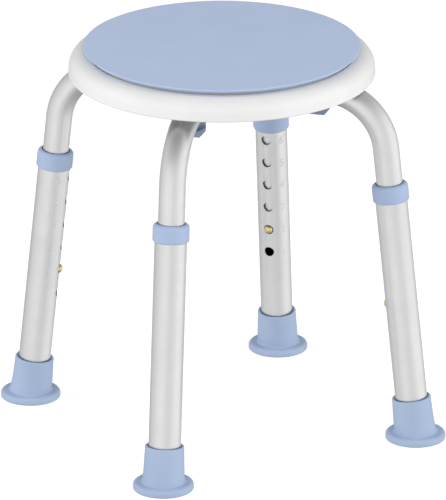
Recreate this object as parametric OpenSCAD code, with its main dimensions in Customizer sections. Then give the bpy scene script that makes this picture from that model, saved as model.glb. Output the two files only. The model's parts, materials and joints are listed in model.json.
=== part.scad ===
// Round swivelling shower stool on four telescopic legs.
// Millimetres. Z is up and the floor is z = 0. The stool's axis is the Z axis.
// The front is -Y and the legs stand on the diagonals. Every leg is drawn in its second hole.

/* [Seat] */
// Diameter of the white seat base over its rolled rim
base_d = 304.6; // [302:0.2:312]
// Height of the white rim, from its lower edge to the shoulder beside the pad
rim_h = 22; // [21:0.5:26]
// Radius of the rolled shoulder of the rim
shoulder_r = 15.4; // [14:0.1:15.5]
// Diameter of the blue foam pad that turns on the base
pad_d = 274.6; // [270:0.2:276]
// Thickness of the foam pad
pad_t = 4.2; // [4:0.1:12]
// Gap between the underside of the pad and the white shoulder
pad_gap = 2.1; // [1.5:0.1:2.5]
// Wall thickness of the moulded seat base
base_wall = 3; // [2.5:0.1:3.5]
// Thickness of the ribs under the seat base
rib_t = 2.4; // [1.8:0.1:3]

/* [Swivel] */
// Thickness of the disc the pad is bonded to
plate_t = 4; // [3.5:0.1:4.5]
// Mean radius of the glide ring under the disc
glide_r = 102; // [90:1:115]
// Thread diameter of the pivot bolt
bolt_d = 8; // [6:1:10]

/* [Legs] */
// Distance from the stool's axis to the middle of a foot
foot_r = 201.7; // [195:0.1:215]
// Lean of a leg from the vertical, inwards at the top
leg_tilt = 6.1; // [4:0.1:8]
// Outside diameter of the lower tube
lower_d = 32; // [31:0.5:33]
// Outside diameter of the upper tube
upper_d = 26.2; // [25:0.1:26.6]
// Wall thickness of both tubes
tube_wall = 1.5; // [1.2:0.1:1.6]
// Length along the leg from the floor to the start of the bend
bend_start = 304.6; // [301:0.2:330]
// Radius of the bend in the upper tube, on its centre line
bend_r = 62; // [55:1:66]

/* [Height holes] */
// Distance between neighbouring height holes
hole_pitch = 25; // [24:0.1:25.4]
// Number of height holes in each lower tube
hole_count = 6; // [2:1:6]
// Hole that the button stands in as drawn
set_hole = 2; // [2:1:2]
// Diameter of a height hole
hole_d = 10.2; // [9.2:0.1:10.4]
// Length along the leg from the floor to the first hole
hole_first = 117.1; // [114:0.1:119]
// Diameter of the spring button
button_d = 8.8; // [8:0.1:9]
// How far the button stands out of the lower tube
button_out = 2.9; // [2.6:0.1:4]
// Degrees each leg stands turned in its socket: front left, front right, rear right, rear left
hole_turn = [-6, -7, -5, 10]; // [-12:1:12]

/* [Collars and feet] */
// Outside diameter of the collar at the top of the lower tube
collar_d = 36.3; // [35.8:0.1:38]
// Height of the collar
collar_h = 18; // [17:1:22]
// Length along the leg from the floor to the lower edge of the collar
collar_low = 251; // [250:0.5:254]
// Diameter of the foot where it meets the floor
foot_d = 60; // [56:1:66]
// Thickness of the flange of the foot
foot_flange = 7.5; // [6.5:0.5:9]
// Length along the leg from the floor to the top of the foot
foot_h = 43.6; // [40:0.2:50]

/* [Leg clips] */
// Width of the clip across the tube
clip_w = 29.2; // [28.6:0.2:34]
// Thickness of the clip's outer plate
clip_t = 5.5; // [5:0.1:8]
// Length of the clip along the tube, plate and saddle
clip_l = 19; // [18:1:24]
// Distance from the stool's axis to the outer face of the clip
clip_r = 109; // [100:1:109]
// Depth of the clip below the middle of the tube
clip_drop = 23.5; // [22:0.5:28]

/* [Hidden] */
$fn = 96;
// Tubes
lower_r = lower_d / 2;
lower_in = lower_r - tube_wall;
upper_r = upper_d / 2;
upper_in = upper_r - tube_wall;
set_t = hole_first + (set_hole - 1) * hole_pitch;
upper_low = set_t - 14;
lower_low = 8.4;
collar_top = collar_low + collar_h;
lower_top = collar_top - 5.3;
bend_a = 90 - leg_tilt;
tube_z = bend_start * cos(leg_tilt) + bend_r * (1 - sin(leg_tilt));
bend_end = foot_r - bend_start * sin(leg_tilt) - bend_r * cos(leg_tilt);
tube_in = 46;
// Seat heights
under_z = tube_z + upper_r + 0.05;
rim_z = under_z - 5;
shoulder_z = rim_z + rim_h;
floor_z = shoulder_z - 5.8;
pad_z = shoulder_z + pad_gap;
top_z = pad_z + pad_t;
deck_z = floor_z - base_wall;
base_r = base_d / 2;
side_r = base_r - 0.4;
roll_r = side_r - shoulder_r;
roll_z = shoulder_z - shoulder_r;
lip_r = base_wall / 2;
pad_r = pad_d / 2;
well_r = pad_r - 5;
// Swivel
plate_z = pad_z - plate_t;
boss_r = 18;
boss_z = floor_z - 5.5;
hub_z = under_z - 7;
bolt_r = bolt_d / 2;
head_h = 5;
washer_t = 1.6;
nut_h = 7;
// Hub that holds the inner ends of the tubes
hub_in = 26;
hub_screw_r = 35;
socket_l = 24;
// Clip and its screw
clip_mid = clip_r - clip_t - (clip_l - clip_t) / 2;
clip_z = tube_z - clip_drop;
saddle_w = 19;
screw_r = 2.5;
screw_top = deck_z + 1;
// Foot
sock_top_r = 19.3;
sock_low_r = 20.8;

FL = -135;
FR = -45;
RR = 45;
RL = 135;

function arc(x, y, r, a, b, n) = [for (k = [0:n])
  let (t = a + (b - a) * k / n)
  [x + r * cos(t), y + r * sin(t)]];

// How far the holes of one leg are turned about the leg, away from the stool's axis
function hole_way(turn) =
  turn == FL ? hole_turn[0] : turn == FR ? hole_turn[1] : turn == RR ? hole_turn[2] : hole_turn[3];

// Carries a leg part, drawn with the leg's axis on Z and the outside on +X, to its corner of the stool
module on_leg(turn) {
  rotate([0, 0, turn])
    translate([foot_r, 0, 0])
      rotate([0, -leg_tilt, 0])
        children();
}

// Carries a part drawn along +X under the seat to the corner of one leg
module on_arm(turn) {
  rotate([0, 0, turn])
    children();
}

module ring(r_out, r_in, h) {
  difference() {
    cylinder(r = r_out, h = h);
    translate([0, 0, -1])
      cylinder(r = r_in, h = h + 2);
  }
}

module hex(across, h) {
  cylinder(r = across / 2 / cos(30), h = h, $fn = 6);
}

// ---------------------------------------------------------------- seat

module seat_pad() {
  color("#9fb4da")
    rotate_extrude()
      polygon(concat([[0, pad_z]],
        arc(pad_r - 2.4, pad_z + 2.2, 2.2, -90, 0, 5),
        arc(pad_r - 2.6, top_z - 2.6, 2.6, 0, 90, 6),
        [[0, top_z]]));
}

module swivel_plate() {
  color("#e6e8ea")
    difference() {
      union() {
        translate([0, 0, plate_z])
          cylinder(r = well_r - 1.2, h = plate_t);
        translate([0, 0, boss_z + 0.3])
          cylinder(r = boss_r, h = plate_z - boss_z - 0.1);
      }
      translate([0, 0, pad_z - head_h - 0.1])
        hex(13.2, head_h + 1);
      translate([0, 0, boss_z - 1])
        cylinder(r = bolt_r + 0.05, h = 20);
    }
}

module pivot_bolt() {
  color("#b9bdc2") {
    translate([0, 0, pad_z - head_h])
      hex(13, head_h);
    translate([0, 0, hub_z - washer_t - nut_h - 3])
      cylinder(r = bolt_r, h = pad_z - head_h - hub_z + washer_t + nut_h + 3.2);
  }
}

module pivot_washer() {
  color("#b9bdc2")
    translate([0, 0, hub_z - washer_t - 0.05])
      ring(12, bolt_r + 0.2, washer_t);
}

module pivot_nut() {
  color("#b9bdc2")
    translate([0, 0, hub_z - washer_t - 0.1 - nut_h])
      difference() {
        hex(13, nut_h);
        translate([0, 0, -1])
          cylinder(r = bolt_r + 0.02, h = nut_h + 2);
      }
}

module glide_ring() {
  color("#d9dcd6")
    translate([0, 0, floor_z - 1])
      ring(glide_r + 7, glide_r - 7, plate_z + 0.95 - floor_z);
}

// Deck, rolled shoulder and rim of the base, with the well that the swivel disc lies in
module base_shell() {
  rotate_extrude()
    polygon(concat(
      [[0, deck_z], [roll_r - 0.5, deck_z], [roll_r - 0.5, shoulder_z - base_wall]],
      arc(roll_r, roll_z, shoulder_r - base_wall, 84, 0, 7),
      arc(base_r - lip_r, rim_z + lip_r, lip_r, 180, 360, 10),
      arc(roll_r, roll_z, shoulder_r, 0, 90, 24),
      [[well_r + 0.6, shoulder_z], [well_r, shoulder_z - 0.6], [well_r, floor_z], [0, floor_z]]));
}

// Ribs between two radii, standing down from the deck
module spokes(n, r1, r2) {
  for (k = [0:n - 1]) {
    rotate([0, 0, k * 360 / n])
      translate([r1, -rib_t / 2, under_z])
        cube([r2 - r1, rib_t, deck_z - under_z + 0.5]);
  }
}

module seat_base() {
  color("#eef0f1")
    difference() {
      union() {
        base_shell();
        translate([0, 0, hub_z])
          cylinder(r = 24, h = deck_z - hub_z + 0.5);
        translate([0, 0, under_z]) {
          ring(44, 44 - rib_t, deck_z - under_z + 0.5);
          ring(76, 76 - rib_t, deck_z - under_z + 0.5);
          ring(112, 112 - rib_t, deck_z - under_z + 0.5);
        }
        spokes(12, 22, 75);
        spokes(24, 74, base_r - 3.2);
        for (turn = [FL, FR, RR, RL]) {
          on_arm(turn)
            translate([clip_mid, 0, under_z])
              cylinder(r = 6, h = deck_z - under_z + 0.5);
          on_arm(turn + 45)
            translate([hub_screw_r, 0, under_z])
              cylinder(r = 6, h = deck_z - under_z + 0.5);
        }
      }
      translate([0, 0, floor_z - 1])
        ring(glide_r + 7.05, glide_r - 7.05, 3);
      translate([0, 0, boss_z])
        cylinder(r = boss_r + 0.1, h = 20);
      translate([0, 0, hub_z - 1])
        cylinder(r = bolt_r + 0.3, h = 30);
      for (turn = [FL, FR, RR, RL]) {
        on_arm(turn)
          translate([clip_mid, 0, under_z - 1])
            cylinder(r = screw_r + 0.02, h = screw_top - under_z + 1.1);
        on_arm(turn + 45)
          translate([hub_screw_r, 0, under_z - 1])
            cylinder(r = screw_r + 0.02, h = screw_top - under_z + 1.1);
      }
    }
}

// Moulded ring with four sockets, screwed up under the base, that holds the inner ends of the tubes
module leg_hub() {
  color("#e4e6e7")
    difference() {
      union() {
        translate([0, 0, tube_z - 6])
          cylinder(r = tube_in, h = under_z - 0.05 - tube_z + 6);
        for (turn = [FL, FR, RR, RL]) {
          on_arm(turn) {
            translate([tube_in - 8, 0, tube_z])
              rotate([0, 90, 0])
                cylinder(r = upper_r + 3, h = socket_l);
            translate([tube_in - 8, -upper_r - 3, tube_z])
              cube([socket_l, upper_d + 6, under_z - 0.05 - tube_z]);
          }
        }
      }
      translate([0, 0, tube_z - 30])
        cylinder(r = hub_in, h = 60);
      translate([-50, -50, under_z - 0.05])
        cube([100, 100, 20]);
      for (turn = [FL, FR, RR, RL]) {
        on_arm(turn)
          translate([tube_in - 0.1, 0, tube_z])
            rotate([0, 90, 0])
              cylinder(r = upper_r + 0.05, h = 40);
        on_arm(turn + 45)
          translate([hub_screw_r, 0, tube_z - 7])
            cylinder(r = screw_r + 0.2, h = 30);
      }
    }
}

module hub_screws() {
  color("#b9bdc2")
    for (turn = [FL, FR, RR, RL]) {
      on_arm(turn + 45)
        translate([hub_screw_r, 0, 0]) {
          translate([0, 0, tube_z - 9.05])
            cylinder(r = 4.9, h = 3);
          translate([0, 0, tube_z - 6.2])
            cylinder(r = screw_r, h = screw_top - tube_z + 6.2);
        }
    }
}

// ---------------------------------------------------------------- clips and upper tubes

// Outline of the clip's plate, with height along X: cut lower corners, drawn in by inset all round
module clip_outline(inset) {
  half = clip_w / 2 - inset;
  low = clip_z + inset;
  polygon([[under_z - 0.05, -half], [under_z - 0.05, half], [clip_z + 6.6, half],
    [low, half - 5.4], [low, 5.4 - half], [clip_z + 6.6, -half]]);
}

// Groove between the jaw beside the tube and the lip below it
module clip_groove() {
  polygon([[tube_z - 10.2, 8.6], [tube_z - 9.1, clip_w / 2 + 1], [tube_z - 11.8, clip_w / 2 + 1],
    [tube_z - 17.2, 7.0], [tube_z - 16.4, 5.6], [tube_z - 11, 5.6]]);
}

// Block of the clip along the tube from radius r1 to r2, width w, from the clip's foot to height top
module clip_block(r1, r2, w, top) {
  translate([r1, -w / 2, clip_z])
    cube([r2 - r1, w, top - clip_z]);
}

module clip_at(turn) {
  color("#9fb4da")
    on_arm(turn)
      difference() {
        union() {
          hull() {
            translate([clip_r - 1, 0, 0])
              rotate([0, -90, 0])
                linear_extrude(height = clip_t - 1)
                  clip_outline(0);
            translate([clip_r, 0, 0])
              rotate([0, -90, 0])
                linear_extrude(height = 1)
                  clip_outline(0.9);
          }
          clip_block(clip_r - clip_l, clip_r - clip_t + 0.5, saddle_w, tube_z);
        }
        translate([clip_r - clip_l - 1, 0, tube_z])
          rotate([0, 90, 0])
            cylinder(r = upper_r + 0.1, h = clip_l + 2);
        translate([clip_r - clip_l - 1, -upper_r - 0.1, tube_z])
          cube([clip_l + 2, upper_d + 0.2, 30]);
        for (side = [0, 1]) {
          mirror([0, side, 0])
            translate([clip_r + 1, 0, 0])
              rotate([0, -90, 0])
                linear_extrude(height = clip_t)
                  clip_groove();
        }
        translate([clip_mid, 0, clip_z - 1])
          cylinder(r = screw_r + 0.2, h = 20);
        translate([clip_mid, 0, clip_z - 1])
          cylinder(r = 5.2, h = 4.4);
      }
}

module clip_screws() {
  color("#b9bdc2")
    for (turn = [FL, FR, RR, RL]) {
      on_arm(turn)
        translate([clip_mid, 0, 0]) {
          translate([0, 0, clip_z + 0.4])
            cylinder(r = 4.9, h = 2.95);
          translate([0, 0, clip_z + 3])
            cylinder(r = screw_r, h = screw_top - clip_z - 3);
        }
    }
}

module upper_tube_at(turn) {
  color("#c4c8cc")
    difference() {
      union() {
        on_leg(turn) {
          translate([0, 0, upper_low])
            ring(upper_r, upper_in, bend_start - upper_low);
          translate([-bend_r, 0, bend_start]) {
            rotate([90, 0, 0])
              rotate_extrude(angle = bend_a)
                translate([bend_r, 0])
                  difference() {
                    circle(r = upper_r);
                    circle(r = upper_in);
                  }
            rotate([0, -bend_a, 0])
              translate([bend_r, 0, 0])
                ring(upper_r, upper_in, bend_end - tube_in);
          }
        }
      }
      on_leg(turn)
        translate([0, 0, set_t])
          rotate([0, -90, hole_way(turn)])
            cylinder(r = hole_d / 2, h = upper_r + 2);
      on_arm(turn)
        translate([clip_mid, 0, tube_z - upper_r - 2])
          cylinder(r = screw_r + 0.2, h = upper_d + 4);
    }
}

module tube_bush_at(turn) {
  color("#35383b")
    on_leg(turn)
      translate([0, 0, upper_low - 2])
        difference() {
          cylinder(r = lower_in - 0.1, h = 8);
          translate([0, 0, -1])
            cylinder(r = upper_in, h = 10);
          translate([0, 0, 1.95])
            cylinder(r = upper_r + 0.02, h = 10);
        }
}

// ---------------------------------------------------------------- spring buttons

module button_at(turn) {
  color("#c9a24e")
    on_leg(turn)
      translate([0, 0, set_t])
        rotate([0, -90, hole_way(turn)])
          rotate_extrude()
            polygon(concat([[0, 8.4], [5.6, 8.4], [5.6, 9.4], [button_d / 2, 9.4]],
              arc(button_d / 2 - 2.6, lower_r + button_out - 2.6, 2.6, 0, 90, 6),
              [[0, lower_r + button_out]]));
}

// Folded strip: one end carries the button, the other leans on the far wall of the tube
module button_spring_at(turn) {
  color("#a9adb2")
    on_leg(turn)
      translate([0, 0, set_t])
        rotate([90, 0, hole_way(turn)])
          linear_extrude(height = 8, center = true)
            polygon([[-7.5, -7], [-7.5, 8], [-1, 42], [1.5, 44], [4, 42], [9.5, 6], [9.5, -7],
              [10.3, -7], [10.3, 6], [4.8, 42.5], [1.5, 45], [-1.8, 42.5], [-8.3, 8], [-8.3, -7]]);
}

// ---------------------------------------------------------------- sliding legs

module lower_tube_at(turn) {
  color("#c4c8cc")
    on_leg(turn)
      difference() {
        translate([0, 0, lower_low])
          ring(lower_r, lower_in, lower_top - lower_low);
        for (k = [0:hole_count - 1]) {
          translate([0, 0, hole_first + k * hole_pitch])
            rotate([0, -90, hole_way(turn)])
              cylinder(r = hole_d / 2, h = lower_r + 2);
        }
      }
}

// Half section of the collar before it is bored: square with a round top and a small round foot
module collar_outline() {
  out = collar_d / 2;
  polygon([[10, 0], [out - 1.6, 0], [out, 1.6], [out, collar_h - 4], [out - 4, collar_h], [10, collar_h]]);
  translate([out - 1.6, 1.6])
    circle(r = 1.6);
  translate([out - 4, collar_h - 4])
    circle(r = 4);
}

module collar_at(turn) {
  color("#9fb4da")
    on_leg(turn)
      translate([0, 0, collar_low])
        rotate_extrude()
          difference() {
            collar_outline();
            translate([0, -1])
              square([lower_r + 0.05, lower_top - collar_low + 1.05]);
            translate([0, -1])
              square([upper_r + 1, collar_h + 2]);
          }
}

module foot_at(turn) {
  color("#9fb4da")
    difference() {
      union() {
        rotate([0, 0, turn])
          translate([foot_r, 0, 0])
            rotate_extrude()
              polygon(concat([[0, 0], [foot_d / 2 - 1.2, 0]],
                arc(foot_d / 2 - 1.2, 1.2, 1.2, -90, 0, 3),
                arc(foot_d / 2 - 3.6, foot_flange - 3.6, 3.6, 0, 84, 5),
                arc(sock_low_r + 2.4, foot_flange + 2.2, 2.2, 268, 186, 5),
                [[0, foot_flange + 2.2]]));
        on_leg(turn)
          rotate_extrude()
            polygon(concat([[0, 4], [sock_low_r, 4]],
              arc(sock_top_r - 1.5, foot_h - 1.5, 1.5, 0, 90, 4),
              [[0, foot_h]]));
      }
      on_leg(turn) {
        translate([0, 0, 6.3])
          cylinder(r = lower_r + 0.05, h = foot_h);
        translate([0, 0, foot_h - 3])
          cylinder(r = lower_r + 0.8, h = 4);
      }
      rotate([0, 0, turn])
        translate([foot_r, 0, -1]) {
          ring(24.5, 22, 2.2);
          ring(17.5, 15, 2.2);
          ring(10.5, 8, 2.2);
        }
    }
}

module foot_plate_at(turn) {
  color("#b9bdc2")
    on_leg(turn)
      translate([0, 0, 6.35])
        cylinder(r = lower_r - 0.1, h = 2);
}

// ---------------------------------------------------------------- one module for each sub-part

module clip_front_left() { clip_at(FL); }
module clip_front_right() { clip_at(FR); }
module clip_rear_left() { clip_at(RL); }
module clip_rear_right() { clip_at(RR); }
module upper_tube_front_left() { upper_tube_at(FL); }
module upper_tube_front_right() { upper_tube_at(FR); }
module upper_tube_rear_left() { upper_tube_at(RL); }
module upper_tube_rear_right() { upper_tube_at(RR); }
module tube_bush_front_left() { tube_bush_at(FL); }
module tube_bush_front_right() { tube_bush_at(FR); }
module tube_bush_rear_left() { tube_bush_at(RL); }
module tube_bush_rear_right() { tube_bush_at(RR); }
module button_spring_front_left() { button_spring_at(FL); }
module button_spring_front_right() { button_spring_at(FR); }
module button_spring_rear_left() { button_spring_at(RL); }
module button_spring_rear_right() { button_spring_at(RR); }
module button_front_left() { button_at(FL); }
module button_front_right() { button_at(FR); }
module button_rear_left() { button_at(RL); }
module button_rear_right() { button_at(RR); }
module lower_tube_front_left() { lower_tube_at(FL); }
module lower_tube_front_right() { lower_tube_at(FR); }
module lower_tube_rear_left() { lower_tube_at(RL); }
module lower_tube_rear_right() { lower_tube_at(RR); }
module collar_front_left() { collar_at(FL); }
module collar_front_right() { collar_at(FR); }
module collar_rear_left() { collar_at(RL); }
module collar_rear_right() { collar_at(RR); }
module foot_front_left() { foot_at(FL); }
module foot_front_right() { foot_at(FR); }
module foot_rear_left() { foot_at(RL); }
module foot_rear_right() { foot_at(RR); }
module foot_plate_front_left() { foot_plate_at(FL); }
module foot_plate_front_right() { foot_plate_at(FR); }
module foot_plate_rear_left() { foot_plate_at(RL); }
module foot_plate_rear_right() { foot_plate_at(RR); }

seat_pad();
swivel_plate();
pivot_bolt();
pivot_washer();
pivot_nut();
glide_ring();
seat_base();
leg_hub();
hub_screws();
clip_front_left();
clip_front_right();
clip_rear_left();
clip_rear_right();
clip_screws();
upper_tube_front_left();
upper_tube_front_right();
upper_tube_rear_left();
upper_tube_rear_right();
tube_bush_front_left();
tube_bush_front_right();
tube_bush_rear_left();
tube_bush_rear_right();
button_spring_front_left();
button_spring_front_right();
button_spring_rear_left();
button_spring_rear_right();
button_front_left();
button_front_right();
button_rear_left();
button_rear_right();
lower_tube_front_left();
lower_tube_front_right();
lower_tube_rear_left();
lower_tube_rear_right();
collar_front_left();
collar_front_right();
collar_rear_left();
collar_rear_right();
foot_front_left();
foot_front_right();
foot_rear_left();
foot_rear_right();
foot_plate_front_left();
foot_plate_front_right();
foot_plate_rear_left();
foot_plate_rear_right();
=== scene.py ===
import json
import math

import bmesh
import bpy
from mathutils import Matrix, Vector


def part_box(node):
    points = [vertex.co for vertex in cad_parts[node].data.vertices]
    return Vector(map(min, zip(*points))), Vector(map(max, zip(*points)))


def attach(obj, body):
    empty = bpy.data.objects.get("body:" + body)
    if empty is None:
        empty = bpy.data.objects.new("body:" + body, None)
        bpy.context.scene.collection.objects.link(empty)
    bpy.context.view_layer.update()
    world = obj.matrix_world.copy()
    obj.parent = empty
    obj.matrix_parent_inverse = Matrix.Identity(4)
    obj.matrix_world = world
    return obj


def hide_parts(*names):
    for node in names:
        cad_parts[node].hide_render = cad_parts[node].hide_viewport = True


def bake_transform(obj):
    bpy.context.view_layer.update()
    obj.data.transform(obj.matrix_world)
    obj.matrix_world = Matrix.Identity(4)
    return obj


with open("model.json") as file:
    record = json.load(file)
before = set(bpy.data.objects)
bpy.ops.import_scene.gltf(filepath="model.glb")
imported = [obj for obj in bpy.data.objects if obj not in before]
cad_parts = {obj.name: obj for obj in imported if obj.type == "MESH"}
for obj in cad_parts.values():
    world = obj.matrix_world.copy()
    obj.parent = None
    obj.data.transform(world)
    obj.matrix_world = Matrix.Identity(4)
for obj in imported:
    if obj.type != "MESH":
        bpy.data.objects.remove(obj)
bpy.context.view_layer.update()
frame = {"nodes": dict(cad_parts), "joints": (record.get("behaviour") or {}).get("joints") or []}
NODES = frame["nodes"]

# Metres. Z is up, the floor is z = 0 and the stool's axis is the Z axis.
# Each leg stands in its own compass direction and leans outwards on its way down.
# Heights of a leg are taken along it, from the floor.
LEGS = {"front_left": -135, "front_right": -45, "rear_right": 45, "rear_left": 135}
TILT = math.radians(6.1)  # a leg's lean from upright
FOOT_R = 0.2017  # from the stool's axis to the middle of a foot
TUBE_R = 0.016  # outside of a lower tube
BEND_START = 0.3046  # height at which an upper tube starts to bend inwards
BEND_R = 0.062
HOLE_FIRST = 0.1171  # height of the lowest height hole
HOLE_PITCH = 0.025
HOLE_COUNT = 6

# ------------------------------------------------------------------ camera

CAMERA_TURN = math.radians(-28.43)  # round from the front, to the left
CAMERA_PITCH = 0.3546  # radians that it looks down
CAMERA_AWAY = 8.2061  # from the stool's axis
CAMERA_HEIGHT = 3.2146


def add_camera():
    data = bpy.data.cameras.new("camera")
    data.sensor_width = 36
    data.lens = 631.16
    data.shift_x = 0.0023
    data.shift_y = 0.0036
    data.clip_start = 0.1
    data.clip_end = 100
    camera = bpy.data.objects.new("camera", data)
    bpy.context.scene.collection.objects.link(camera)
    bpy.context.scene.camera = camera
    side, front = math.sin(CAMERA_TURN), math.cos(CAMERA_TURN)
    level, down = math.cos(CAMERA_PITCH), math.sin(CAMERA_PITCH)
    camera.location = (side * CAMERA_AWAY, -front * CAMERA_AWAY, CAMERA_HEIGHT)
    look = Vector((-side * level, front * level, -down))
    camera.rotation_euler = look.to_track_quat("-Z", "Y").to_euler()


add_camera()

# ------------------------------------------------------------------ node helpers


def srgb(r, g, b):
    """A linear colour from display values of 0 to 255."""
    out = []
    for v in (r, g, b):
        v /= 255
        out.append(v / 12.92 if v <= 0.04045 else ((v + 0.055) / 1.055) ** 2.4)
    return (*out, 1)


class Nodes:
    """A node tree and short ways to add nodes to it."""

    def __init__(self, tree):
        self.tree = tree

    def put(self, node, key, value):
        """Sets or links an input, which is given by its name or its number."""
        socket = node.inputs[key]
        if isinstance(value, bpy.types.NodeSocket):
            self.tree.links.new(value, socket)
        else:
            socket.default_value = value

    def node(self, kind, **sockets):
        node = self.tree.nodes.new(kind)
        for key, value in sockets.items():
            self.put(node, key, value)
        return node

    def calc(self, operation, *values):
        node = self.node("ShaderNodeMath")
        node.operation = operation
        for i, value in enumerate(values):
            self.put(node, i, value)
        return node.outputs[0]

    def stretched(self, vector, scale):
        return self.node("ShaderNodeMapping", Vector=vector, Scale=scale).outputs[0]

    def noise(self, vector, scale, detail):
        return self.node("ShaderNodeTexNoise", Vector=vector, Scale=scale, Detail=detail).outputs["Fac"]

    def band(self, value, lo, hi, out_lo, out_hi, smooth=False):
        """Takes lo to hi over to out_lo to out_hi, and stops at the ends."""
        node = self.node("ShaderNodeMapRange")
        if smooth:
            node.interpolation_type = "SMOOTHSTEP"
        for i, v in enumerate((value, lo, hi, out_lo, out_hi)):
            self.put(node, i, v)
        return node.outputs[0]

    def mix(self, factor, first, second):
        node = self.node("ShaderNodeMix")
        node.data_type = "RGBA"
        for i, value in ((0, factor), (6, first), (7, second)):
            self.put(node, i, value)
        return node.outputs[2]

    def clouds(self, cover, first, second):
        """A colour that drifts between two with a noise."""
        return self.mix(self.band(cover, 0.35, 0.65, 0, 1), first, second)

    def bump(self, height, strength, distance, under=None):
        node = self.node("ShaderNodeBump", Height=height, Strength=strength, Distance=distance)
        if under:
            self.put(node, "Normal", under)
        return node.outputs[0]


class Mat(Nodes):
    """A material with one Principled shader."""

    def __init__(self, name, **sockets):
        self.material = bpy.data.materials.new(name)
        self.material.use_nodes = True
        super().__init__(self.material.node_tree)
        self.shader = self.tree.nodes["Principled BSDF"]
        for key, value in sockets.items():
            self.put(self.shader, key.replace("_", " "), value)

    def place(self):
        return self.node("ShaderNodeTexCoord").outputs["Object"]

    def leg_place(self, turn):
        """Place in a leg's own frame: its foot is the origin, Z runs up the leg and X points outwards."""
        turned = self.node("ShaderNodeVectorRotate", Vector=self.place(), Angle=-math.radians(turn))
        turned.rotation_type = "Z_AXIS"
        moved = self.node("ShaderNodeVectorMath")
        moved.operation = "SUBTRACT"
        self.put(moved, 0, turned.outputs[0])
        self.put(moved, 1, (FOOT_R, 0, 0))
        upright = self.node("ShaderNodeVectorRotate", Vector=moved.outputs[0], Angle=TILT)
        upright.rotation_type = "Y_AXIS"
        return upright.outputs[0]

    def finish(self, colour, roughness, normal):
        self.put(self.shader, "Base Color", colour)
        self.put(self.shader, "Roughness", roughness)
        self.put(self.shader, "Normal", normal)
        return self.material


# ------------------------------------------------------------------ materials


def moulded(name, light, dark, rough, grain=1400, bump=0.12, spec=0.5):
    """Moulded plastic or rubber: a fine spark grain, a slow cloud in its colour, uneven gloss."""
    k = Mat(name, Specular_IOR_Level=spec)
    place = k.place()
    colour = k.clouds(k.noise(place, 22, 3), dark, light)
    roughness = k.band(k.noise(place, 160, 4), 0.3, 0.7, rough - 0.05, rough + 0.06)
    waves = k.bump(k.noise(place, 60, 2), 0.10, 0.0006)
    spark = k.bump(k.noise(place, grain, 2), bump, 0.00006, waves)
    return k.finish(colour, roughness, spark)


def metal(name, light, dark, rough):
    """Plated or rolled metal: a light even grain and uneven gloss."""
    k = Mat(name, Metallic=1.0)
    place = k.place()
    colour = k.clouds(k.noise(place, 140, 3), light, dark)
    roughness = k.band(k.noise(place, 300, 3), 0.3, 0.7, rough - 0.06, rough + 0.08)
    grain = k.bump(k.noise(place, 900, 2), 0.12, 0.00003)
    return k.finish(colour, roughness, grain)


def foam(name):
    """Closed-cell foam: tiny pores with painted shade in their pits, a skin with slow clouds, almost no
    gloss.
    """
    k = Mat(name, Specular_IOR_Level=0.35, Sheen_Weight=0.08, Sheen_Roughness=0.6)
    place = k.place()
    cells = k.node("ShaderNodeTexVoronoi", Vector=place, Scale=1500.0).outputs["Distance"]
    skin = k.clouds(k.noise(place, 16, 4), srgb(179, 196, 226), srgb(182, 199, 228))
    # Painted shade: the colour turns a little darker blue at the pits of the pores.
    colour = k.mix(k.band(cells, 0.0, 0.35, 0.10, 0), skin, srgb(128, 146, 180))
    roughness = k.band(k.noise(place, 240, 3), 0.3, 0.7, 0.62, 0.74)
    waves = k.bump(k.noise(place, 35, 3), 0.06, 0.0008)
    pores = k.bump(cells, 0.18, 0.0001, waves)
    return k.finish(colour, roughness, pores)


def straightened(k, x, z):
    """Outward place and height of a point on an upper tube, as if its bend were laid out straight."""
    dx = k.calc("ADD", x, BEND_R)
    dz = k.calc("SUBTRACT", z, BEND_START)
    reach = k.calc("SQRT", k.calc("ADD", k.calc("MULTIPLY", dx, dx), k.calc("MULTIPLY", dz, dz)))
    bent_x = k.calc("SUBTRACT", reach, BEND_R)
    bent_z = k.calc("ADD", k.calc("MULTIPLY", k.calc("ARCTAN2", dz, dx), BEND_R), BEND_START)
    bent = k.calc("GREATER_THAN", z, BEND_START)
    x = k.calc("ADD", x, k.calc("MULTIPLY", bent, k.calc("SUBTRACT", bent_x, x)))
    z = k.calc("ADD", z, k.calc("MULTIPLY", bent, k.calc("SUBTRACT", bent_z, z)))
    return x, z


def anodised(name, turn, bent):
    """Satin anodised aluminium drawn along the tube: long faint die lines that follow the bend."""
    k = Mat(name, Metallic=1.0, Anisotropic=0.35)
    x, y, z = k.node("ShaderNodeSeparateXYZ", Vector=k.leg_place(turn)).outputs
    if bent:
        x, z = straightened(k, x, z)
    around = k.calc("ARCTAN2", y, x)
    skin_x = k.calc("MULTIPLY", k.calc("COSINE", around), TUBE_R)
    skin_y = k.calc("MULTIPLY", k.calc("SINE", around), TUBE_R)
    skin = k.node("ShaderNodeCombineXYZ", X=skin_x, Y=skin_y, Z=z).outputs[0]
    broad = k.noise(k.stretched(skin, (1, 1, 0.02)), 260, 3)
    cloud = k.noise(skin, 30, 3)
    shade = k.calc("MULTIPLY_ADD", broad, 0.5, k.calc("MULTIPLY", cloud, 0.5))
    colour = k.clouds(shade, srgb(233, 233, 234), srgb(240, 240, 239))
    roughness = k.band(k.noise(skin, 90, 4), 0.3, 0.7, 0.34, 0.42)
    lines = k.bump(k.noise(k.stretched(skin, (1, 1, 0.012)), 2600, 2), 0.10, 0.00003)
    return k.finish(colour, roughness, lines)


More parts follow.
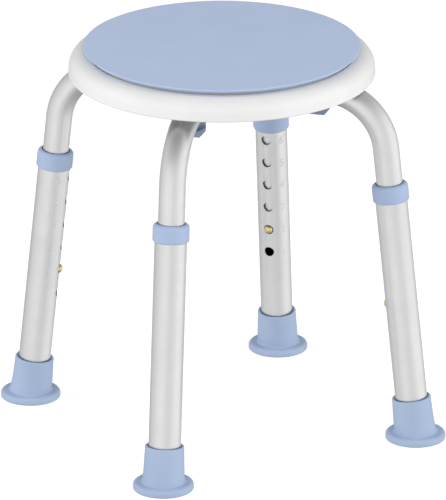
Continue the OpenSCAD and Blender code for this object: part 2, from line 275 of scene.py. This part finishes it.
WHITE = moulded("white_plastic", srgb(228, 228, 228), srgb(224, 224, 224), 0.36, 1100, 0.10)
# The swivel plate is painted mid grey as painted shade: it is seen only in the thin gap under the pad, and
# its grey stands in for the shade there.
DISC_PAINTED_SHADE = moulded("disc_painted_shade", srgb(176, 177, 180), srgb(168, 169, 172), 0.4, 1100, 0.10)
BLUE = moulded("blue_plastic", srgb(165, 183, 211), srgb(160, 178, 207), 0.42, 1300, 0.12, 0.25)
# The clips are the blue plastic painted darker and greyer: painted shade for where they hang in the shadow
# under the seat.
CLIP_PAINTED_SHADE = moulded("blue_clip_painted_shade", srgb(139, 157, 181), srgb(133, 151, 176), 0.42, 1300, 0.12, 0.25)
RUBBER = moulded("blue_rubber", srgb(166, 183, 210), srgb(161, 178, 205), 0.52, 1700, 0.2, 0.2)
BLACK = moulded("black_plastic", srgb(44, 45, 48), srgb(36, 37, 40), 0.5)
GLIDE = moulded("glide_plastic", srgb(222, 222, 214), srgb(214, 214, 206), 0.3)
STEEL = metal("zinc_steel", srgb(196, 199, 204), srgb(178, 182, 188), 0.3)
SPRING = metal("spring_steel", srgb(150, 152, 156), srgb(132, 134, 139), 0.3)
BRASS = metal("brass_button", srgb(244, 226, 172), srgb(234, 212, 152), 0.16)
FOAM = foam("foam_pad")
STAMP = moulded("stamped_numbers", srgb(211, 212, 213), srgb(206, 207, 209), 0.5, 1500, 0.1, 0.2)


def paint(node, material):
    materials = NODES[node].data.materials
    materials.clear()
    materials.append(material)


for node in ("seat_base", "leg_hub"):
    paint(node, WHITE)
for node in ("hub_screws", "clip_screws", "pivot_bolt", "pivot_washer", "pivot_nut"):
    paint(node, STEEL)
paint("swivel_plate", DISC_PAINTED_SHADE)
paint("glide_ring", GLIDE)
for leg, turn in LEGS.items():
    paint("lower_tube_" + leg, anodised("anodised_lower_" + leg, turn, bent=False))
    paint("upper_tube_" + leg, anodised("anodised_upper_" + leg, turn, bent=True))
    paint("clip_" + leg, CLIP_PAINTED_SHADE)
    paint("collar_" + leg, BLUE)
    paint("foot_" + leg, RUBBER)
    paint("button_" + leg, BRASS)
    paint("button_spring_" + leg, SPRING)
    paint("tube_bush_" + leg, BLACK)
    paint("foot_plate_" + leg, STEEL)

# ------------------------------------------------------------------ mesh helpers

ON_AXIS = 1e-7  # a smaller radius counts as a point on the axis


def arc(x, z, r, start, end, steps):
    """Points of an arc about (x, z), from one angle in degrees to another."""
    angles = [math.radians(start + (end - start) * i / steps) for i in range(steps + 1)]
    return [(x + r * math.cos(a), z + r * math.sin(a)) for a in angles]


def lathe(profile, steps, place=lambda point, i: point):
    """Turns (radius, height) pairs about Z. place(point, i) says where a point of ring i really goes."""
    bm = bmesh.new()
    rings = []
    for i, (r, z) in enumerate(profile):
        if r < ON_AXIS:
            rings.append([bm.verts.new((0, 0, z))])
            continue
        angles = [2 * math.pi * k / steps for k in range(steps)]
        points = [Vector((r * math.cos(a), r * math.sin(a), z)) for a in angles]
        rings.append([bm.verts.new(place(point, i)) for point in points])
    for lo, hi in zip(rings, rings[1:]):
        for k in range(steps):
            j = (k + 1) % steps
            quad = [lo[k % len(lo)], lo[j % len(lo)], hi[j % len(hi)], hi[k % len(hi)]]
            corners = list(dict.fromkeys(quad))
            if len(corners) > 2:
                bm.faces.new(corners)
    return bm


def link(obj):
    bpy.context.scene.collection.objects.link(obj)
    return obj


def new_piece(name, bm, material, smooth=True):
    bmesh.ops.recalc_face_normals(bm, faces=bm.faces)
    mesh = bpy.data.meshes.new(name)
    bm.to_mesh(mesh)
    bm.free()
    mesh.materials.append(material)
    if smooth:
        mesh.polygons.foreach_set("use_smooth", [True] * len(mesh.polygons))
    obj = link(bpy.data.objects.new(name, mesh))
    return obj


def foot_matrix(turn):
    """The middle of a foot on the floor, with X pointing outwards."""
    return Matrix.Rotation(math.radians(turn), 4, "Z") @ Matrix.Translation((FOOT_R, 0, 0))


def leg_matrix(turn):
    """The same place with Z leaning up the leg."""
    return foot_matrix(turn) @ Matrix.Rotation(-TILT, 4, "Y")


def press_axis(leg):
    return next(Vector(j["axis"]) for j in frame["joints"] if j["name"] == "button_press_" + leg)


# ------------------------------------------------------------------ foam pad

PAD_LO, PAD_HI = (corner.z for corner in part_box("seat_pad"))
PAD_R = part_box("seat_pad")[1].x
PAD_CORNER = 0.0006  # radius of the rolled top corner
PAD_TOP = PAD_HI - 0.0001  # leaves room for the unevenness


def pad_profile():
    """A flat disc whose cut side leans in towards the bottom, with a small rolled corner at the top."""
    points = [(0, PAD_LO), (0.06, PAD_LO), (0.12, PAD_LO)]
    side = ((0.0038, 0), (0.0029, 0.0007), (0.0020, 0.0016), (0.0012, 0.0024), (0.0005, 0.0031))
    points += [(PAD_R - inward, PAD_LO + up) for inward, up in side]
    points += arc(PAD_R - PAD_CORNER, PAD_TOP - PAD_CORNER, PAD_CORNER, -24, 84, 7)
    points += [(PAD_R - 0.005, PAD_HI - 0.00014), (PAD_R - 0.012, PAD_HI - 0.00012)]
    points += [(r, PAD_TOP) for r in (0.11, 0.09, 0.06, 0.03, 0)]
    return points


def uneven(point, i):
    """The slow unevenness of a cut sheet, on the top face only."""
    if point.z > PAD_HI - 0.0008:
        around = math.atan2(point.y, point.x)
        point.z += 0.00008 * math.sin(3 * around + 0.7) + 0.00006 * math.sin(5 * around + 2.1)
    return point


pad = new_piece("pad_foam", lathe(pad_profile(), 256, uneven), FOAM)
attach(pad, "swivel")
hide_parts("seat_pad")

# ------------------------------------------------------------------ rubber feet

FOOT_FLOOR = 0.0063  # top of the rubber inside the socket
SOCKET_R = 0.01606
GROOVE_WIDE, GROOVE_DEEP, GROOVE_DRAFT = 0.0025, 0.0011, 0.0002  # rings in the tread
LEAN_START, LEAN_OVER = 0.0074, 0.009  # height at which the skin starts to lean, and how soon it has


def foot_outside():
    """From the middle of the tread, round the flange and up the socket to its mouth."""
    points = [(0, 0)]
    for near in (0.008, 0.015, 0.022):
        far = near + GROOVE_WIDE
        points += [(near, 0), (near + GROOVE_DRAFT, GROOVE_DEEP), (far - GROOVE_DRAFT, GROOVE_DEEP), (far, 0)]
    points += arc(0.0284, 0.0016, 0.0016, -90, 0, 6)
    points += arc(0.0264, 0.0039, 0.0036, 2, 86, 10)
    points += [(0.0250, 0.00762), (0.0238, 0.00758)]
    points += arc(0.0231, 0.0097, 0.0021, 266, 188, 8)
    points += [(0.02085, 0.0112), (0.0204, 0.018), (0.02008, 0.025), (0.01978, 0.032), (0.0195, 0.0388)]
    points += arc(0.0182, 0.0423, 0.0013, 4, 88, 6)
    return points


def foot_inside():
    """From the mouth, over its lip and down the socket to the middle of its floor."""
    lip = [(0.0173, 0.0436), (0.0169, 0.0433), (0.01682, 0.0428), (0.01682, 0.0406)]
    return lip + [(SOCKET_R, 0.0404), (SOCKET_R, FOOT_FLOOR), (0, FOOT_FLOOR)]


def foot_skin(turn, inside):
    """Level at the flange and leaning with the leg in the socket. Rings from number inside on all lean."""
    level = foot_matrix(turn)
    leaning = leg_matrix(turn)

    def place(point, i):
        t = min(max((point.z - LEAN_START) / LEAN_OVER, 0), 1)
        if i >= inside:
            t = 1
        t = t * t * (3 - 2 * t)
        return (level @ point).lerp(leaning @ point, t)

    return place


def rubber_foot(leg, turn):
    outside = foot_outside()
    # The middle points stay tiny rings while they are placed, and are then joined to one point
    profile = [(max(r, 1e-5), z) for r, z in outside + foot_inside()]
    bm = lathe(profile, 96, foot_skin(turn, len(outside)))
    bmesh.ops.remove_doubles(bm, verts=bm.verts[:], dist=3e-6)
    foot = new_piece("foot_rubber_" + leg, bm, RUBBER)
    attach(foot, "leg_" + leg)
    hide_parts("foot_" + leg)


for leg, turn in LEGS.items():
    rubber_foot(leg, turn)

# ------------------------------------------------------------------ spring buttons

# Heights of a button are taken from the middle of the tube outwards
BUTTON_R = 0.0044
BUTTON_OUT = 0.0029  # how far it stands out of the lower tube
FLANGE_R, FLANGE_LO, FLANGE_HI = 0.0056, 0.0084, 0.0094
BUTTON_STEPS, DOME_STEPS = 48, 12


def spring_button(leg, turn):
    """A flange inside the tubes, a stem and a domed end, standing in the second height hole."""
    profile = [(0, FLANGE_LO), (FLANGE_R, FLANGE_LO), (FLANGE_R, FLANGE_HI), (BUTTON_R, FLANGE_HI)]
    for i in range(DOME_STEPS + 1):
        rise = math.pi / 2 * i / DOME_STEPS
        profile.append((BUTTON_R * math.cos(rise), TUBE_R + BUTTON_OUT * math.sin(rise)))
    bm = lathe(profile, BUTTON_STEPS)
    middle = leg_matrix(turn) @ Vector((0, 0, HOLE_FIRST + HOLE_PITCH))
    outwards = (-press_axis(leg)).to_track_quat("Z", "Y").to_matrix().to_4x4()
    bm.transform(Matrix.Translation(middle) @ outwards)
    button = new_piece("spring_button_" + leg, bm, BRASS)
    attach(button, "press_" + leg)
    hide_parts("button_" + leg)


def leaf_spring(leg):
    """A folded leaf spring, copied from its part and left where it stands."""
    mesh = NODES["button_spring_" + leg].data.copy()
    spring = link(bpy.data.objects.new("leaf_spring_" + leg, mesh))
    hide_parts("button_spring_" + leg)
    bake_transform(spring)


for leg, turn in LEGS.items():
    spring_button(leg, turn)
for leg in LEGS:
    leaf_spring(leg)

# ------------------------------------------------------------------ numbers

# Which side of its holes a leg's numbers stand on
NUMBER_SIDE = {"front_left": -1, "front_right": 1, "rear_right": -1, "rear_left": 1}
NUMBER_TURN = math.radians(54)  # from the innermost line of the tube
NUMBER_SIZE = 0.0116
NUMBER_HALF = 0.00012  # half of a digit's thickness
NUMBER_SUNK = 0.00002  # a digit's middle below the skin of the tube
NUMBER_BELOW = 0.0009  # a digit's middle below the middle of its hole
STRIP = 0.0005  # width of the strips that let a digit follow the tube
STRIPS = 8  # on each side of a digit's middle


def flat_digit(digit):
    """A raised digit in the XY plane, cut into upright strips."""
    curve = bpy.data.curves.new("number", "FONT")
    curve.body = digit
    curve.size = NUMBER_SIZE
    curve.align_x, curve.align_y = "CENTER", "CENTER"
    curve.extrude = NUMBER_HALF
    outline = link(bpy.data.objects.new("number", curve))
    bpy.context.view_layer.update()
    evaluated = outline.evaluated_get(bpy.context.evaluated_depsgraph_get())
    bm = bmesh.new()
    bm.from_mesh(bpy.data.meshes.new_from_object(evaluated))
    bpy.data.objects.remove(outline)
    bmesh.ops.remove_doubles(bm, verts=bm.verts[:], dist=1e-6)
    for cut in range(-STRIPS, STRIPS + 1):
        parts = bm.verts[:] + bm.edges[:] + bm.faces[:]
        bmesh.ops.bisect_plane(bm, geom=parts, plane_co=(cut * STRIP, 0, 0), plane_no=(1, 0, 0))
    return bm


def number_row(leg, turn):
    """The digits of the height scale, rolled onto the lower tube beside their holes."""
    row = bmesh.new()
    for k in range(HOLE_COUNT):
        digit = flat_digit(str(k + 1))
        height = HOLE_FIRST + k * HOLE_PITCH - NUMBER_BELOW
        for v in digit.verts:
            around = math.pi - NUMBER_SIDE[leg] * NUMBER_TURN + v.co.x / TUBE_R
            reach = TUBE_R - NUMBER_SUNK + v.co.z
            v.co = (reach * math.cos(around), reach * math.sin(around), height + v.co.y)
        mesh = bpy.data.meshes.new("number")
        digit.to_mesh(mesh)
        digit.free()
        row.from_mesh(mesh)
    row.transform(leg_matrix(turn))
    numbers = new_piece("numbers_" + leg, row, STAMP, smooth=False)
    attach(numbers, "leg_" + leg)


for leg, turn in LEGS.items():
    number_row(leg, turn)

# ------------------------------------------------------------------ floor

FLOOR_HALF = 9


def add_floor():
    k = Mat("pale_floor", Specular_IOR_Level=0.1, Emission_Color=(1, 1, 1, 1), Emission_Strength=0.44)
    pale = k.mix(k.noise(k.place(), 3, 2), srgb(240, 240, 241), srgb(243, 243, 243))
    k.put(k.shader, "Base Color", pale)
    k.put(k.shader, "Roughness", 0.9)
    bm = bmesh.new()
    for x, y in ((-1, -1), (1, -1), (1, 1), (-1, 1)):
        bm.verts.new((x * FLOOR_HALF, y * FLOOR_HALF, 0))
    bm.faces.new(bm.verts[:])
    mesh = bpy.data.meshes.new("floor")
    bm.to_mesh(mesh)
    bm.free()
    mesh.materials.append(k.material)
    floor = link(bpy.data.objects.new("floor", mesh))
    floor.visible_glossy = False
    floor.visible_diffuse = False
    return floor


floor = add_floor()

# ------------------------------------------------------------------ light

WORLD_BASE = 0.79
LAMP_AWAY = 2.6
LAMP_AIM = Vector((0, 0, 0.2))  # the middle of the stool


def add_studio():
    """A pale room with two broad soft panels. It is dimmer behind the stool, overhead and underfoot."""
    world = bpy.data.worlds.new("studio")
    bpy.context.scene.world = world
    world.use_nodes = True
    sky = Nodes(world.node_tree)
    direction = sky.node("ShaderNodeTexCoord").outputs["Generated"]
    x, y, z = sky.node("ShaderNodeSeparateXYZ", Vector=direction).outputs

    def panel(turn, width, amount):
        """More or less light in one compass direction, turn degrees round from the camera to the right."""
        a = CAMERA_TURN + math.radians(turn)
        along = sky.calc("MULTIPLY_ADD", x, math.sin(a), sky.calc("MULTIPLY", y, -math.cos(a)))
        return sky.band(along, math.cos(math.radians(width)), 1.0, 0.0, amount, smooth=True)

    left = panel(-35, 46, 0.19)
    right = panel(84, 58, 0.25)
    behind = panel(186, 80, -0.32)
    overhead = sky.band(z, 0.30, 0.90, 0.0, -0.47)
    underfoot = sky.band(z, -0.45, -0.9, 0.0, -0.40)
    glow = WORLD_BASE
    for part in (left, right, behind, overhead, underfoot):
        glow = sky.calc("ADD", glow, part)
    background = world.node_tree.nodes["Background"]
    sky.put(background, "Color", (1, 1, 1, 1))
    sky.put(background, "Strength", glow)


def softbox(name, turn, rise, size, power):
    """A lamp that faces the stool from a compass direction and a height, both in degrees."""
    data = bpy.data.lights.new(name, "AREA")
    data.shape = "RECTANGLE"
    data.size, data.size_y = size
    data.energy = power
    a, e = math.radians(turn), math.radians(rise)
    out = Vector((math.sin(a) * math.cos(e), -math.cos(a) * math.cos(e), math.sin(e)))
    lamp = link(bpy.data.objects.new(name, data))
    lamp.location = LAMP_AIM + out * LAMP_AWAY
    lamp.rotation_euler = (-out).to_track_quat("-Z", "Y").to_euler()
    lamp.visible_camera = False
    lamp.visible_glossy = False


add_studio()
softbox("key", -24, 27, (1.4, 1.6), 20)
softbox("fill_left", -112, 26, (1.6, 1.6), 28)
softbox("fill_right", 56, 26, (1.6, 1.6), 22)

bpy.context.scene.view_settings.view_transform = "Standard"
bpy.context.scene.view_settings.look = "None"
